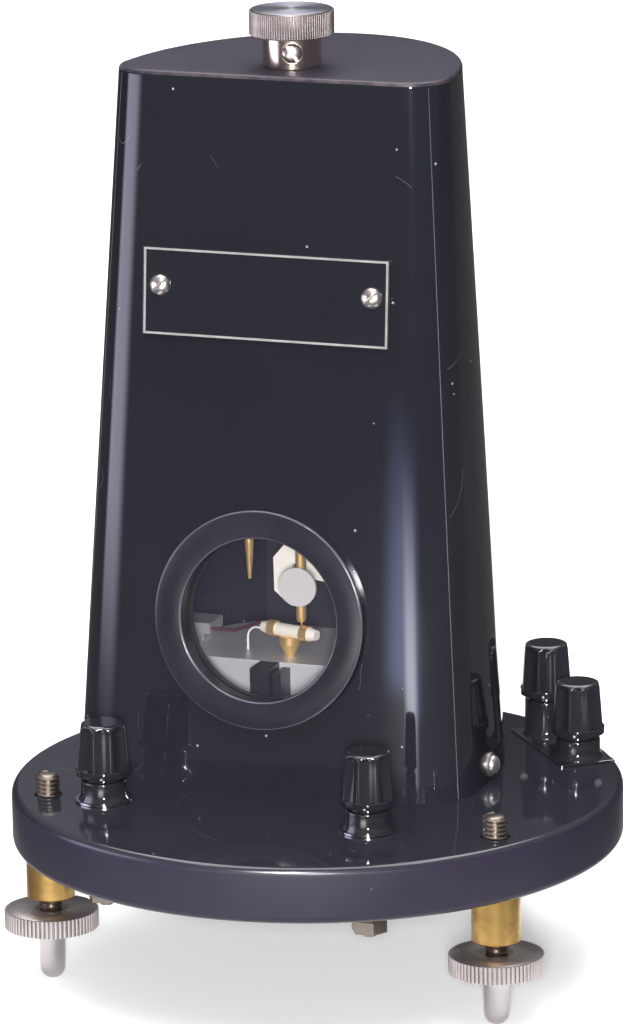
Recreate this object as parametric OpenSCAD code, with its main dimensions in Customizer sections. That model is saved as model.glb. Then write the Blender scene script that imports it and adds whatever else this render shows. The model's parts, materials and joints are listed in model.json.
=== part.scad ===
// Ballistic galvanometer: moving coil hung in a moulded tower on a round levelling base.
// Millimetres, +Z up, origin on the ground under the centre of the base, front towards -Y.

/* [View] */

/* [Base] */
base_r = 100;
base_t = 18.6;
base_top = 62;
base_edge = 2.6;

/* [Levelling feet] */
foot_inset = 11.4;
screw_r = 3.97;
bush_r = 7.9;
bush_drop = 15.8;
wheel_r = 15.4;
wheel_t = 6.4;
wheel_ridges = 64;
ridge_depth = 0.9;
tip_h = 17.1;
tip_r = 4.5;

/* [Tower] */
tower_x = -13.2;
tower_h = 231.5;
wall = 5;
roof_t = 6;
top_round = 1.3;
front_low = -19;
front_high = 2;
half_low = 68.4;
half_high = 56.4;
corner_low = 18;
corner_high = 13.5;
back_y_low = 13.9;
back_y_high = 10.3;
back_d_low = 78.1;
back_d_high = 75.8;

/* [Window and plate] */
window_z = 56.1;
bezel_r = 36.1;
bezel_h = 3.6;
bezel_edge = 1.3;
sight_r = 26.7;
plate_w = 84.8;
plate_h = 29.1;
plate_t = 1;
plate_z = 160.7;
plate_screw_inset = 6.1;
plate_screw_up = 2;

/* [Suspension] */
axis_y = 22.5;
coil_z = 115;
mirror_z = 58.4;
mirror_r = 6.5;
knob_r = 13.75;
knob_t = 8.6;
neck_r = 9.65;
neck_h = 10;
lock_turn = -69.2;
knob_ridges = 100;

/* [Movement] */
platform_r = 48;
platform_h = 34;
platform_t = 14;
magnet_r = 42;
magnet_h = 24;
pole_r = 30;
pole_h = 38;
core_r = 11;
coil_w = 26.8;
coil_h = 40.8;
tube_r = 2.2;
tube_l = 22;
tube_turn = -15;
tube_x = -4.2;

/* [Terminals] */
cap_r = 8.8;
cap_top_r = 7.7;
cap_h = 17.6;
cap_skirt = 2.4;
flutes = 8;
post_rise = [0, 0, 0, 5.9];
collar_r = 7.3;
collar_h = 7.8;
washer_r = 9.4;
washer_t = 0.8;
stud_r = 2;

/* [Hidden] */
$fn = 48;
lean = atan((front_high - front_low) / tower_h);
base_low = base_top - base_t;
axis_at = [tower_x, axis_y, 0];
roof = base_top + tower_h;
foot_circle = base_r - foot_inset;
foot_angles = [210, 330, 90];
foot_names = ["left", "right", "rear"];
terminal_polar = [[0.725, 218.3], [0.617, 305.7], [0.88, 32.6], [0.892, 51.2]];
terminal_at = [for (t = terminal_polar) base_r * t[0] * [cos(t[1]), sin(t[1])]];
window_hole = bezel_r - 5.1;
plate_screw_x = plate_w / 2 - plate_screw_inset;
platform_top = base_top + platform_h;
platform_low = platform_top - platform_t;
pillar_x = platform_r * 2 / 3;
tube_z = platform_top + 8.4;
plate_seat = 0.003;
lug_y = 14;
lug_z = base_top + 5.4;

function mixed(a, b, u) = a + (b - a) * u;

// D-shaped plan: flat front, rounded front corners, elliptical back; inset moves every wall inward.
function d_plan(u, inset) =
  let (w = mixed(half_low, half_high, u) - inset,
       r = mixed(corner_low, corner_high, u) - inset * 0.8,
       f = mixed(front_low, front_high, u) + inset,
       c = mixed(back_y_low, back_y_high, u),
       d = mixed(back_d_low, back_d_high, u) - inset)
  concat(
    [for (i = [0:15]) [tower_x - w + r + r * cos(180 + i * 6), f + r + r * sin(180 + i * 6)]],
    [for (i = [0:15]) [tower_x + w - r + r * cos(270 + i * 6), f + r + r * sin(270 + i * 6)]],
    [for (i = [0:60]) [tower_x + w * cos(i * 3), c + d * sin(i * 3)]]);

module d_slab(u, inset, z) { translate([0, 0, z]) linear_extrude(height = 0.02) polygon(d_plan(u, inset)); }

// Stands children on the leaning front face: x across, s up the slope, h outward.
module on_front(x, s, h = 0) {
  translate([0, front_low, base_top]) rotate([90 - lean, 0, 0]) translate([x, s, h]) children();
}

module on_axis(z) { translate([tower_x, axis_y, z]) children(); }

module at_foot(i) { translate([foot_circle * cos(foot_angles[i]), foot_circle * sin(foot_angles[i]), 0]) children(); }

module at_terminal(i) { translate([terminal_at[i][0], terminal_at[i][1], 0]) children(); }

module ring(outer, inner, h) { difference() { cylinder(r = outer, h = h); translate([0, 0, -0.5]) cylinder(r = inner, h = h + 1); } }

// Disc with both edges rounded to radius e.
module round_disc(r, h, e) {
  translate([0, 0, e]) cylinder(r = r, h = h - 2 * e);
  cylinder(r = r - e, h = h);
  for (z = [e, h - e]) translate([0, 0, z]) rotate_extrude() translate([r - e, 0]) circle(r = e);
}

// Drum with n straight ridges: flat lands parted by V grooves.
module ridged_drum(r, h, n, depth) {
  linear_extrude(height = h) polygon([for (k = [0:n - 1]) for (p = [[r, -0.3], [r, 0.3], [r - depth, 0.5]])
    let (a = (k + p[1]) * 360 / n) [p[0] * cos(a), p[0] * sin(a)]]);
}

// Round-headed slotted screw pointing down -Z with its head above z = 0.
module slotted_screw(head_r, head_h, shank_r, shank_l) {
  ball = (head_r * head_r + head_h * head_h) / (2 * head_h);
  difference() {
    intersection() {
      cylinder(r = head_r, h = head_h + 1);
      translate([0, 0, head_h - ball]) sphere(r = ball);
    }
    translate([-head_r - 1, -head_r * 0.13, head_h * 0.55]) cube([head_r * 2 + 2, head_r * 0.26, head_h]);
  }
  translate([0, 0, -shank_l]) cylinder(r = shank_r, h = shank_l + 0.01);
}

// Screw place on the tower's flank, side = 1 right or -1 left; +Z of children points out of the wall.
module on_flank(side) {
  u = (lug_z - base_top) / tower_h;
  w = mixed(half_low, half_high, u);
  c = mixed(back_y_low, back_y_high, u);
  d = mixed(back_d_low, back_d_high, u);
  t = asin((lug_y - c) / d);
  out = atan((sin(t) / d) / (cos(t) / w));
  translate([tower_x + side * w * cos(t), lug_y, lug_z]) rotate([0, 0, side > 0 ? out : 180 - out]) rotate([0, 90, 0]) children();
}

module base_disc() {
  color("#26262c") difference() {
    translate([0, 0, base_low]) round_disc(base_r, base_t, base_edge);
    for (i = [0:2]) at_foot(i) translate([0, 0, base_low - 1]) cylinder(r = 6, h = base_t + 2);
    for (i = [0:3]) at_terminal(i) translate([0, 0, base_low - 1]) cylinder(r = stud_r, h = base_t + 2);
  }
}

module foot_bushes() {
  color("#9a7a3f") for (i = [0:2]) at_foot(i) difference() {
    union() {
      translate([0, 0, base_low - bush_drop]) cylinder(r = bush_r, h = bush_drop);
      translate([0, 0, base_low]) cylinder(r = 6, h = base_t - 0.2);
    }
    translate([0, 0, base_low - bush_drop - 1]) cylinder(r = screw_r + 0.05, h = base_t + bush_drop + 2);
  }
}

module tower_shell() {
  color("#1d1d23") difference() {
    hull() {
      d_slab(0, 0, base_top);
      d_slab(1 - top_round / tower_h, 0, roof - top_round);
      d_slab(1, top_round * 0.3, roof - top_round * 0.35);
      d_slab(1, top_round, roof - 0.02);
    }
    hull() { d_slab(0, wall, base_top - 0.02); d_slab(1 - roof_t / tower_h, wall, roof - roof_t); }
    on_front(tower_x, window_z / cos(lean), -20) cylinder(r = window_hole, h = 40);
    for (s = [-1, 1]) on_front(tower_x + s * plate_screw_x, plate_z / cos(lean) + plate_screw_up, -9) cylinder(r = 1.45, h = 12);
    for (s = [-1, 1]) on_flank(s) { translate([0, 0, -20]) cylinder(r = 2.05, h = 30); translate([0, 0, -0.7]) cylinder(r = 4.1, h = 6); }
    on_axis(roof - 10) cylinder(r = 6.05, h = 20);
  }
}

module case_lugs() {
  color("#8d8f94") for (s = [-1, 1]) on_flank(s) difference() {
    translate([-9, -7, -19]) cube([9 + lug_z - base_top, 14, 13.5]);
    translate([0, 0, -30]) cylinder(r = 2, h = 60);
  }
}

module case_screws() {
  color("#55565c") for (s = [-1, 1]) on_flank(s) translate([0, 0, -0.7]) {
    difference() { cylinder(r = 4, h = 1.6); translate([0, 0, -1]) cylinder(r = 1.5, h = 4); }
    translate([0, 0, 1.6]) slotted_screw(3.1, 2.4, 2, 19);
  }
}

module window_bezel() {
  color("#1f1f26") on_front(tower_x, window_z / cos(lean)) difference() {
    union() {
      cylinder(r = bezel_r, h = bezel_h - bezel_edge);
      cylinder(r = bezel_r - bezel_edge, h = bezel_h);
      translate([0, 0, bezel_h - bezel_edge]) rotate_extrude() translate([bezel_r - bezel_edge, 0]) circle(r = bezel_edge);
      translate([0, 0, -9]) cylinder(r = window_hole - 0.1, h = 9.1);
    }
    translate([0, 0, -3]) cylinder(r = sight_r, h = 10);
    translate([0, 0, bezel_h - 1.2]) cylinder(r1 = sight_r, r2 = sight_r + 1.4, h = 1.4);
    translate([0, 0, -10]) cylinder(r = window_hole - 2, h = 7.2);
  }
}

module window_glass() { color("#c9d3d8", 0.35) on_front(tower_x, window_z / cos(lean), -5.3) cylinder(r = window_hole - 2.1, h = 2.5); }

module glass_ring() { color("#2a2a30") on_front(tower_x, window_z / cos(lean), -8) ring(window_hole - 2, sight_r + 0.2, 2.7); }

module bezel_nut() { color("#2a2a30") on_front(tower_x, window_z / cos(lean), -8.2) ring(window_hole + 4, window_hole - 0.1, 3.2); }

module name_plate() {
  color("#202026") on_front(tower_x, plate_z / cos(lean), plate_seat) difference() {
    union() {
      translate([-plate_w / 2, -plate_h / 2, 0]) cube([plate_w, plate_h, plate_t]);
      translate([0, 0, plate_t]) difference() {
        translate([-plate_w / 2 + 0.5, -plate_h / 2 + 0.5, -0.2]) cube([plate_w - 1, plate_h - 1, 0.45]);
        translate([-plate_w / 2 + 1.2, -plate_h / 2 + 1.2, -0.3]) cube([plate_w - 2.4, plate_h - 2.4, 1]);
      }
    }
    for (s = [-1, 1]) translate([s * plate_screw_x, plate_screw_up, -1]) cylinder(r = 1.45, h = plate_t + 3);
  }
}

module plate_screws() {
  color("#c8c8cc") for (s = [-1, 1]) on_front(tower_x + s * plate_screw_x, plate_z / cos(lean) + plate_screw_up, plate_t + plate_seat) rotate([0, 0, s * 35]) slotted_screw(3.5, 2.2, 1.4, 8);
}

module torsion_collar() {
  color("#b4b4b8") on_axis(roof) difference() {
    union() {
      cylinder(r = neck_r, h = neck_h);
      translate([0, 0, -11]) cylinder(r = 6, h = 11.5);
    }
    translate([0, 0, -20]) cylinder(r = 4.05, h = 40);
    rotate([0, 0, lock_turn]) translate([0, 0, 5.6]) rotate([0, 90, 0]) cylinder(r = 1.65, h = 20);
    rotate([0, 0, lock_turn]) translate([neck_r - 0.5, 0, 5.6]) rotate([0, 90, 0]) cylinder(r = 3.5, h = 10);
  }
}

module collar_nut() {
  color("#a08a52") on_axis(roof - 10) difference() { cylinder(r = 11, h = 4, $fn = 6); translate([0, 0, -1]) cylinder(r = 6, h = 6, $fn = 48); }
}

module terminal_studs() {
  color("#a98a4e") for (i = [0:3]) at_terminal(i) translate([0, 0, base_low - 16.5]) cylinder(r = stud_r, h = base_t + 16.5 + 20 + post_rise[i]);
}

// Round washers under the two front posts and one strip under the pair beside the tower.
module terminal_washers() {
  span = terminal_at[3] - terminal_at[2];
  color("#6d6352") {
    for (i = [0, 1]) at_terminal(i) translate([0, 0, base_top]) ring(washer_r, stud_r, washer_t);
    difference() {
      at_terminal(2) rotate([0, 0, atan2(span[1], span[0])]) translate([-washer_r, -washer_r, base_top]) cube([norm(span) + 2 * washer_r, 2 * washer_r, washer_t]);
      for (i = [2, 3]) at_terminal(i) translate([0, 0, base_top - 1]) cylinder(r = stud_r, h = washer_t + 2);
    }
  }
}

// Flared collars under the caps; the one at the back is taller.
module terminal_collars() {
  color("#202026") for (i = [0:3]) let (h = collar_h + post_rise[i]) at_terminal(i) translate([0, 0, base_top + washer_t]) difference() {
    union() {
      cylinder(r1 = collar_r + 0.9, r2 = collar_r, h = 1.6);
      cylinder(r = collar_r, h = h - 2.2);
      translate([0, 0, h - 2.2]) cylinder(r1 = collar_r, r2 = collar_r - 0.9, h = 1);
      cylinder(r = collar_r - 1.3, h = h);
    }
    translate([0, 0, -1]) cylinder(r = stud_r, h = h + 2);
  }
}

// Two nuts on each stud: one holds the post, the lower one grips the wire.
module terminal_nuts() {
  color("#9c8046") for (i = [0:3]) for (z = [base_low - 4.5, base_low - 15]) at_terminal(i) translate([0, 0, z]) difference() {
    cylinder(r = 6.1, h = 4.5, $fn = 6);
    translate([0, 0, -1]) cylinder(r = stud_r, h = 7, $fn = 48);
  }
}

module platform_block() {
  color("#d6d6d2") difference() {
    on_axis(platform_low) cylinder(r = platform_r, h = platform_t);
    translate([-150, -150, platform_low - 1]) cube([300, 150 + axis_y - 9, 40]);
    for (s = [-1, 1]) on_axis(platform_low - 1) translate([s * pillar_x, 16, 0]) cylinder(r = 3, h = 9);
    on_axis(platform_top - 6) translate([tube_x, 0, 0]) cylinder(r = 1.3, h = 10);
  }
}

module platform_pillars() {
  color("#8d8f94") for (s = [-1, 1]) on_axis(base_top) translate([s * pillar_x, 16, 0]) {
    cylinder(r = 6, h = platform_low - base_top);
    cylinder(r = 3, h = platform_low - base_top + 7);
  }
}

module insulator_posts() {
  color("#18181c") {
    on_axis(base_top) translate([-11.2, -19, 0]) cube([6.6, 10, platform_h]);
    on_axis(base_top) translate([-3.6, -18, 0]) cube([2.8, 9, platform_h - 1.5]);
  }
}

module back_plate() { color("#2b2b30") on_axis(platform_top) translate([-26, 36, 0]) cube([52, 6, coil_z + base_top + 22 - platform_top]); }

module magnet_ring() {
  color("#3a3a40") on_axis(base_top + coil_z - magnet_h / 2) difference() {
    cylinder(r = magnet_r, h = magnet_h);
    translate([0, 0, -1]) cylinder(r = pole_r, h = magnet_h + 2);
    translate([-60, -76, -1]) cube([120, 60, magnet_h + 2]);
    translate([-60, 36, -1]) cube([120, 60, magnet_h + 2]);
  }
}

module pole_piece(side) {
  on_axis(base_top + coil_z - pole_h / 2) difference() {
    cylinder(r = pole_r, h = pole_h);
    translate([0, 0, -1]) cylinder(r = coil_w / 2 + 4, h = pole_h + 2);
    translate([side > 0 ? -70 : 0, -40, -1]) cube([70, 80, pole_h + 2]);
    translate([-40, pole_r / 2, -1]) cube([80, 40, pole_h + 2]);
    translate([-40, -40 - pole_r / 2, -1]) cube([80, 40, pole_h + 2]);
  }
}

module pole_piece_left() { color("#77787d") pole_piece(-1); }

module pole_piece_right() { color("#77787d") pole_piece(1); }

module iron_core() { color("#8a8b90") on_axis(base_top + coil_z - 17) cylinder(r = core_r, h = 34); }

module core_bracket() {
  color("#a08a52") on_axis(base_top + coil_z + magnet_h / 2 + 0.4) difference() {
    translate([-4, core_r - 2, 0]) cube([8, 38 - core_r, 4.6]);
    translate([0, 0, -1]) cylinder(r = core_r, h = 12);
  }
}

module anchor_boss() {
  color("#b8924c") on_axis(platform_top) translate([tube_x, 0, 0]) {
    translate([0, 0, -6]) cylinder(r = 1.3, h = 6.5);
    cylinder(r1 = 1.6, r2 = 3.6, h = 4.2);
    translate([0, 0, 4.2]) cylinder(r = 3.6, h = tube_z - platform_top - tube_r - 3.6);
  }
}

// Stands children at the anchor tube's middle with +X along the tube.
module on_tube() { on_axis(tube_z) translate([tube_x, 0, 0]) rotate([0, 0, tube_turn]) children(); }

module anchor_tube() {
  color("#d8cfae") difference() {
    on_tube() for (s = [-1, 1]) rotate([0, s * 90, 0]) {
      cylinder(r = tube_r, h = tube_l / 2 - 3);
      translate([0, 0, tube_l / 2 - 3]) cylinder(r1 = tube_r + 0.2, r2 = tube_r - 0.5, h = 3);
    }
    anchor_boss();
    on_axis(tube_z) cylinder(r = 0.3, h = 5);
  }
}

module anchor_ferrules() {
  color("#b08a3e") on_tube() for (s = [-1, 1]) rotate([0, s * 90, 0]) translate([0, 0, tube_l / 2 - 6]) ring(tube_r + 0.45, tube_r, 3);
}

module lower_ligament() { color("#c9a860") on_axis(tube_z) cylinder(r = 0.3, h = mirror_z + base_top - tube_z - 9.6); }

module side_bracket() {
  color("#b9bbc0") on_axis(platform_top) {
    translate([-43, 8, 0]) cube([5, 8, 3.3]);
    translate([-47, 6, 3.2]) cube([12, 12, 3.6]);
  }
}

// Bright folded plate behind the mirror, carried from the back plate.
module rear_bracket() {
  color("#e6e6e2") on_axis(base_top) {
    translate([0, 18, 0]) rotate([90, 0, 0]) linear_extrude(height = 2)
      polygon([[-15.8, 62.6], [-12, 67.1], [-7.7, 67.6], [-4.1, 66.2], [3.6, 55.4], [-1, 56], [-6.2, 60.5], [-8.8, 61], [-8.8, 48.4], [-12, 48.2], [-15.6, 51.3]]);
    translate([-14.6, 18, 53]) cube([4, 18, 8]);
  }
}

module guide_pin() {
  color("#c49a4a") on_axis(0) translate([-19.2, 3, 0]) {
    translate([0, 0, base_top + 58.4]) cylinder(r1 = 0.6, r2 = 1.5, h = 12.4);
    translate([0, 0, base_top + 70.8]) cylinder(r = 1.5, h = coil_z - pole_h / 2 - 70.8);
  }
}

// Round wire run through a list of points, every second length a little thicker.
module wire(path, r) {
  last = len(path) - 2;
  for (k = [0:last]) let (d = path[k + 1] - path[k], back = k > 0 ? 0.6 * r : 0, on = k < last ? 0.6 * r : 0)
    translate(path[k]) rotate([0, acos(d[2] / norm(d)), atan2(d[1], d[0])]) translate([0, 0, -back])
      cylinder(r = r * (k % 2 == 1 ? 1.14 : 1), h = norm(d) + back + on, $fn = 24);
}

// Offset from the tower's axis of a point given along and across the anchor tube.
function by_tube(along, across) = [tube_x + along * cos(tube_turn) - across * sin(tube_turn), along * sin(tube_turn) + across * cos(tube_turn), tube_z - platform_top + 0.6];

module lead_dark() {
  color("#3a1518") on_axis(platform_top) wire([[-35, 8, 4.6], [-27, 8, 4.6], by_tube(-tube_l / 2 - 2.4, 0.9), by_tube(-tube_l / 2, 0.9)], 0.5);
}

module lead_light() {
  color("#dcdcda") on_tube() translate([-tube_l / 2, -0.8, -0.4]) {
    rotate([0, -90, 0]) cylinder(r = 0.4, h = 1.6);
    translate([-1.6, 0, -4]) rotate([90, 0, 0]) rotate([0, 0, 90]) rotate_extrude(angle = 90) translate([4, 0]) circle(r = 0.4);
    translate([-5.6, 0, platform_top - tube_z + 0.4]) cylinder(r = 0.4, h = tube_z - platform_top - 4.4);
  }
}

module torsion_knob() {
  color("#b4b4b8") on_axis(roof + neck_h + 0.1) difference() {
    union() {
      cylinder(r = knob_r - 0.5, h = knob_t);
      translate([0, 0, 0.5]) ridged_drum(knob_r, knob_t - 1, knob_ridges, 0.35);
    }
    translate([0, 0, -1]) cylinder(r = 4, h = 7);
  }
}

module torsion_stem() {
  color("#a9a9ae") on_axis(roof) difference() {
    union() {
      translate([0, 0, -11.1]) cylinder(r = 4, h = 11.1 + neck_h + 6.1);
      translate([0, 0, -13.1]) cylinder(r = 5.6, h = 2);
      translate([0, 0, -22]) cylinder(r1 = 2.2, r2 = 3.2, h = 9);
    }
    translate([0, 0, -23]) cylinder(r = 0.45, h = 7);
  }
}

module lock_screw() {
  color("#9d9da2") on_axis(roof + 5.6) rotate([0, 0, lock_turn]) translate([neck_r - 0.4, 0, 0]) rotate([0, 90, 0]) difference() {
    union() {
      intersection() { cylinder(r = 3.3, h = 3); translate([0, 0, -1.9]) sphere(r = 4.1); }
      translate([0, 0, -5.1]) cylinder(r = 1.6, h = 5.2);
    }
    translate([-4, -0.4, 1.1]) cube([8, 0.8, 3]);
  }
}

module coil_former() {
  color("#c7c9cc") on_axis(base_top + coil_z) difference() {
    translate([-coil_w / 2, -3, -coil_h / 2]) cube([coil_w, 6, coil_h]);
    translate([0.8 - coil_w / 2, -4, 0.8 - coil_h / 2]) cube([coil_w - 1.6, 8, coil_h - 1.6]);
    cylinder(r = 0.4, h = 60);
    translate([0, 0, -60]) cylinder(r = 1.2, h = 60);
  }
}

module coil_winding() {
  color("#8f4a2a") on_axis(base_top + coil_z) difference() {
    translate([-coil_w / 2 - 2.6, -2.4, -coil_h / 2 - 2.6]) cube([coil_w + 5.2, 4.8, coil_h + 5.2]);
    translate([-coil_w / 2, -4, -coil_h / 2]) cube([coil_w, 8, coil_h]);
    cylinder(r = 0.4, h = 60);
    translate([0, 0, -60]) cylinder(r = 1.2, h = 60);
  }
}

module coil_spindle() {
  color("#c09a52") on_axis(0) difference() {
    union() {
      translate([0, 0, base_top + mirror_z - 7]) cylinder(r = 1.2, h = coil_z - coil_h / 2 + 0.8 - mirror_z + 7);
      translate([0, 0, base_top + mirror_z - 11.2]) cylinder(r = 1.7, h = coil_z - coil_h / 2 - mirror_z - 11);
      translate([0, 0, base_top + mirror_z - 12.4]) cylinder(r1 = 1.3, r2 = 1.7, h = 1.2);
      translate([0, -2.4, base_top + mirror_z]) rotate([-90, 0, 0]) cylinder(r = 1.6, h = 2.4);
    }
    translate([0, 0, base_top + mirror_z - 13.4]) cylinder(r = 0.36, h = 5);
  }
}

module mirror() { color("#dcdfe6") on_axis(base_top + mirror_z) translate([0, -3.6, 0]) rotate([-90, 0, 0]) cylinder(r = mirror_r, h = 1.2); }

module suspension_wire() { color("#b98b4a") on_axis(0) translate([0, 0, base_top + coil_z + coil_h / 2 - 0.8]) cylinder(r = 0.4, h = tower_h - 17.2 - coil_z - coil_h / 2); }

module foot_tip(i) {
  end_r = tip_r - 0.4;
  at_foot(i) {
    intersection() { translate([0, 0, end_r - 0.5]) sphere(r = end_r); cylinder(r = tip_r + 1, h = end_r - 0.5); }
    translate([0, 0, end_r - 0.5]) cylinder(r1 = end_r, r2 = tip_r, h = tip_h - end_r + 0.5);
    translate([0, 0, tip_h]) cylinder(r = 2.5, h = 4.9);
  }
}

module levelling_screw(i) {
  top = i == 2 ? base_top - 6 : base_top + 7;
  at_foot(i) difference() {
    union() {
      translate([0, 0, tip_h + 0.05]) cylinder(r = 5.5, h = wheel_t);
      translate([0, 0, tip_h + 0.05]) cylinder(r = screw_r, h = top - 0.8 - tip_h - 0.05);
      translate([0, 0, top - 0.8]) cylinder(r1 = screw_r, r2 = screw_r - 0.7, h = 0.8);
    }
    translate([0, 0, tip_h - 1]) cylinder(r = 2.55, h = 6);
  }
}

module thumbwheel(i) {
  at_foot(i) translate([0, 0, tip_h + 0.05]) difference() {
    union() {
      cylinder(r = wheel_r - ridge_depth - 0.15, h = wheel_t);
      translate([0, 0, 0.4]) ridged_drum(wheel_r, wheel_t - 0.8, wheel_ridges, ridge_depth);
    }
    translate([0, 0, -1]) cylinder(r = 5.5, h = wheel_t + 2);
  }
}

module foot_tip_left() { color("#a9a9ad") foot_tip(0); }
module foot_tip_right() { color("#a9a9ad") foot_tip(1); }
module foot_tip_rear() { color("#a9a9ad") foot_tip(2); }
module levelling_screw_left() { color("#8f8f93") levelling_screw(0); }
module levelling_screw_right() { color("#8f8f93") levelling_screw(1); }
module levelling_screw_rear() { color("#8f8f93") levelling_screw(2); }
module thumbwheel_left() { color("#a3a3a7") thumbwheel(0); }
module thumbwheel_right() { color("#a3a3a7") thumbwheel(1); }
module thumbwheel_rear() { color("#a3a3a7") thumbwheel(2); }

cap_z = base_top + washer_t + collar_h + 0.1;

module cap_insert(i) {
  at_terminal(i) translate([0, 0, cap_z + post_rise[i] + 0.4]) difference() {
    cylinder(r = 3.5, h = cap_h - 4);
    translate([0, 0, -1]) cylinder(r = stud_r + 0.05, h = cap_h - 4);
  }
}

// Fluted thumb cap: tapered drum over a plain skirt, rolled rim, shallow dish on top, finger grooves that follow the taper and stop under the rim.
module terminal_cap(i) {
  roll = 2.2;
  run = cap_h - cap_skirt - 3.6;
  taper = atan((cap_r - 0.2 - cap_top_r) / (cap_h - roll - cap_skirt));
  at_terminal(i) translate([0, 0, cap_z + post_rise[i]]) difference() {
    union() {
      cylinder(r1 = cap_r - 0.4, r2 = cap_r, h = 0.4);
      translate([0, 0, 0.4]) cylinder(r = cap_r, h = cap_skirt - 0.4);
      translate([0, 0, cap_skirt]) cylinder(r1 = cap_r - 0.2, r2 = cap_top_r, h = cap_h - roll - cap_skirt);
      translate([0, 0, cap_skirt]) cylinder(r = cap_top_r - roll, h = cap_h - cap_skirt);
      translate([0, 0, cap_h - roll]) rotate_extrude() translate([cap_top_r - roll, 0]) circle(r = roll);
    }
    translate([0, 0, -1]) cylinder(r = 3.55, h = cap_h - 2.55);
    translate([0, 0, cap_h - 0.6]) cylinder(r1 = cap_top_r - roll - 1.4, r2 = cap_top_r - roll - 0.4, h = 0.7);
    for (k = [0:flutes - 1]) rotate([0, 0, k * 360 / flutes - 69]) translate([cap_r - 1.3, 0, cap_skirt]) rotate([0, -taper, 0]) translate([5, 0, 0]) cylinder(r = 5, h = run);
  }
}

module cap_insert_1() { color("#a98a4e") cap_insert(0); }
module cap_insert_2() { color("#a98a4e") cap_insert(1); }
module cap_insert_3() { color("#a98a4e") cap_insert(2); }
module cap_insert_4() { color("#a98a4e") cap_insert(3); }
module terminal_cap_1() { color("#1d1d23") terminal_cap(0); }
module terminal_cap_2() { color("#1d1d23") terminal_cap(1); }
module terminal_cap_3() { color("#1d1d23") terminal_cap(2); }
module terminal_cap_4() { color("#1d1d23") terminal_cap(3); }

base_disc();
foot_bushes();
tower_shell();
case_lugs();
case_screws();
window_bezel();
window_glass();
glass_ring();
bezel_nut();
name_plate();
plate_screws();
torsion_collar();
collar_nut();
terminal_studs();
terminal_washers();
terminal_collars();
terminal_nuts();
platform_block();
platform_pillars();
insulator_posts();
back_plate();
magnet_ring();
pole_piece_left();
pole_piece_right();
iron_core();
core_bracket();
anchor_boss();
anchor_tube();
anchor_ferrules();
lower_ligament();
side_bracket();
rear_bracket();
guide_pin();
lead_dark();
lead_light();
torsion_knob();
torsion_stem();
lock_screw();
coil_former();
coil_winding();
coil_spindle();
mirror();
suspension_wire();
foot_tip_left();
levelling_screw_left();
thumbwheel_left();
foot_tip_right();
levelling_screw_right();
thumbwheel_right();
foot_tip_rear();
levelling_screw_rear();
thumbwheel_rear();
cap_insert_1();
terminal_cap_1();
cap_insert_2();
terminal_cap_2();
cap_insert_3();
terminal_cap_3();
cap_insert_4();
terminal_cap_4();
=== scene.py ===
import json
import math

import bmesh
import bpy
from mathutils import Matrix, Vector

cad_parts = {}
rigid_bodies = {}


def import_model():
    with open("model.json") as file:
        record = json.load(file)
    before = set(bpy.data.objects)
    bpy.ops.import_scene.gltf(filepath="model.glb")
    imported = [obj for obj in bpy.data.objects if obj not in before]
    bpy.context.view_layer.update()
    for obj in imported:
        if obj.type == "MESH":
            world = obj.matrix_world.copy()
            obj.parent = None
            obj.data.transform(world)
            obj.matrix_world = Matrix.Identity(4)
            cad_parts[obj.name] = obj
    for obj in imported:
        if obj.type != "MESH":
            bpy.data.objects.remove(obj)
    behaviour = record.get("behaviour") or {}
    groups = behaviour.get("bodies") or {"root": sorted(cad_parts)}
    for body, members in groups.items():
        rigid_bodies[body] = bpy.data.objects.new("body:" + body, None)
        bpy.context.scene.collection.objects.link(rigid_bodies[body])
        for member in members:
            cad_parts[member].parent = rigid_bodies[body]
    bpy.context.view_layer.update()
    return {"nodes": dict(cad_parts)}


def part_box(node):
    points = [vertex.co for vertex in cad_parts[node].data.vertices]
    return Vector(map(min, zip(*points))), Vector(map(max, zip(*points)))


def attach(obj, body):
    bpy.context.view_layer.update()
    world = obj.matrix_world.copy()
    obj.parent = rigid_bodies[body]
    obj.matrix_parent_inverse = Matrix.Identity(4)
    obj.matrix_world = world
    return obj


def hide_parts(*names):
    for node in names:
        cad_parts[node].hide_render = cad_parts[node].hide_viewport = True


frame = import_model()
nodes = frame["nodes"]
unit = 0.001  # the part's sizes are in millimetres, the studio's in metres


def lowOf(node):
    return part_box(node)[0].z / unit


def topOf(node):
    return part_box(node)[1].z / unit


def middleOf(node):
    low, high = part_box(node)
    return (low + high) / 2 / unit


baseTop = topOf("base_disc")
roofTop = topOf("tower_shell")
footNames = ["left", "right", "rear"]
print("frame loaded, base top", round(baseTop, 2), "roof", round(roofTop, 2))


# node helpers

def addNode(tree, kind, inputs=None, **settings):
    made = tree.nodes.new(kind)
    for label, value in settings.items():
        setattr(made, label, value)
    for label, value in (inputs or {}).items():
        if isinstance(value, bpy.types.NodeSocket):
            tree.links.new(value, made.inputs[label])
        else:
            made.inputs[label].default_value = value
    return made


def addMath(tree, operation, *terms):
    return addNode(tree, "ShaderNodeMath", dict(enumerate(terms)), operation=operation).outputs[0]


# shared shader groups

def groupTree(name, ins, outs):
    tree = bpy.data.node_groups.new(name, "ShaderNodeTree")
    for label, value in ins:
        socket = tree.interface.new_socket(label, in_out="INPUT", socket_type="NodeSocketFloat")
        socket.default_value = value
    for label in outs:
        tree.interface.new_socket(label, in_out="OUTPUT", socket_type="NodeSocketFloat")
    return tree, addNode(tree, "NodeGroupInput"), addNode(tree, "NodeGroupOutput")


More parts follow.
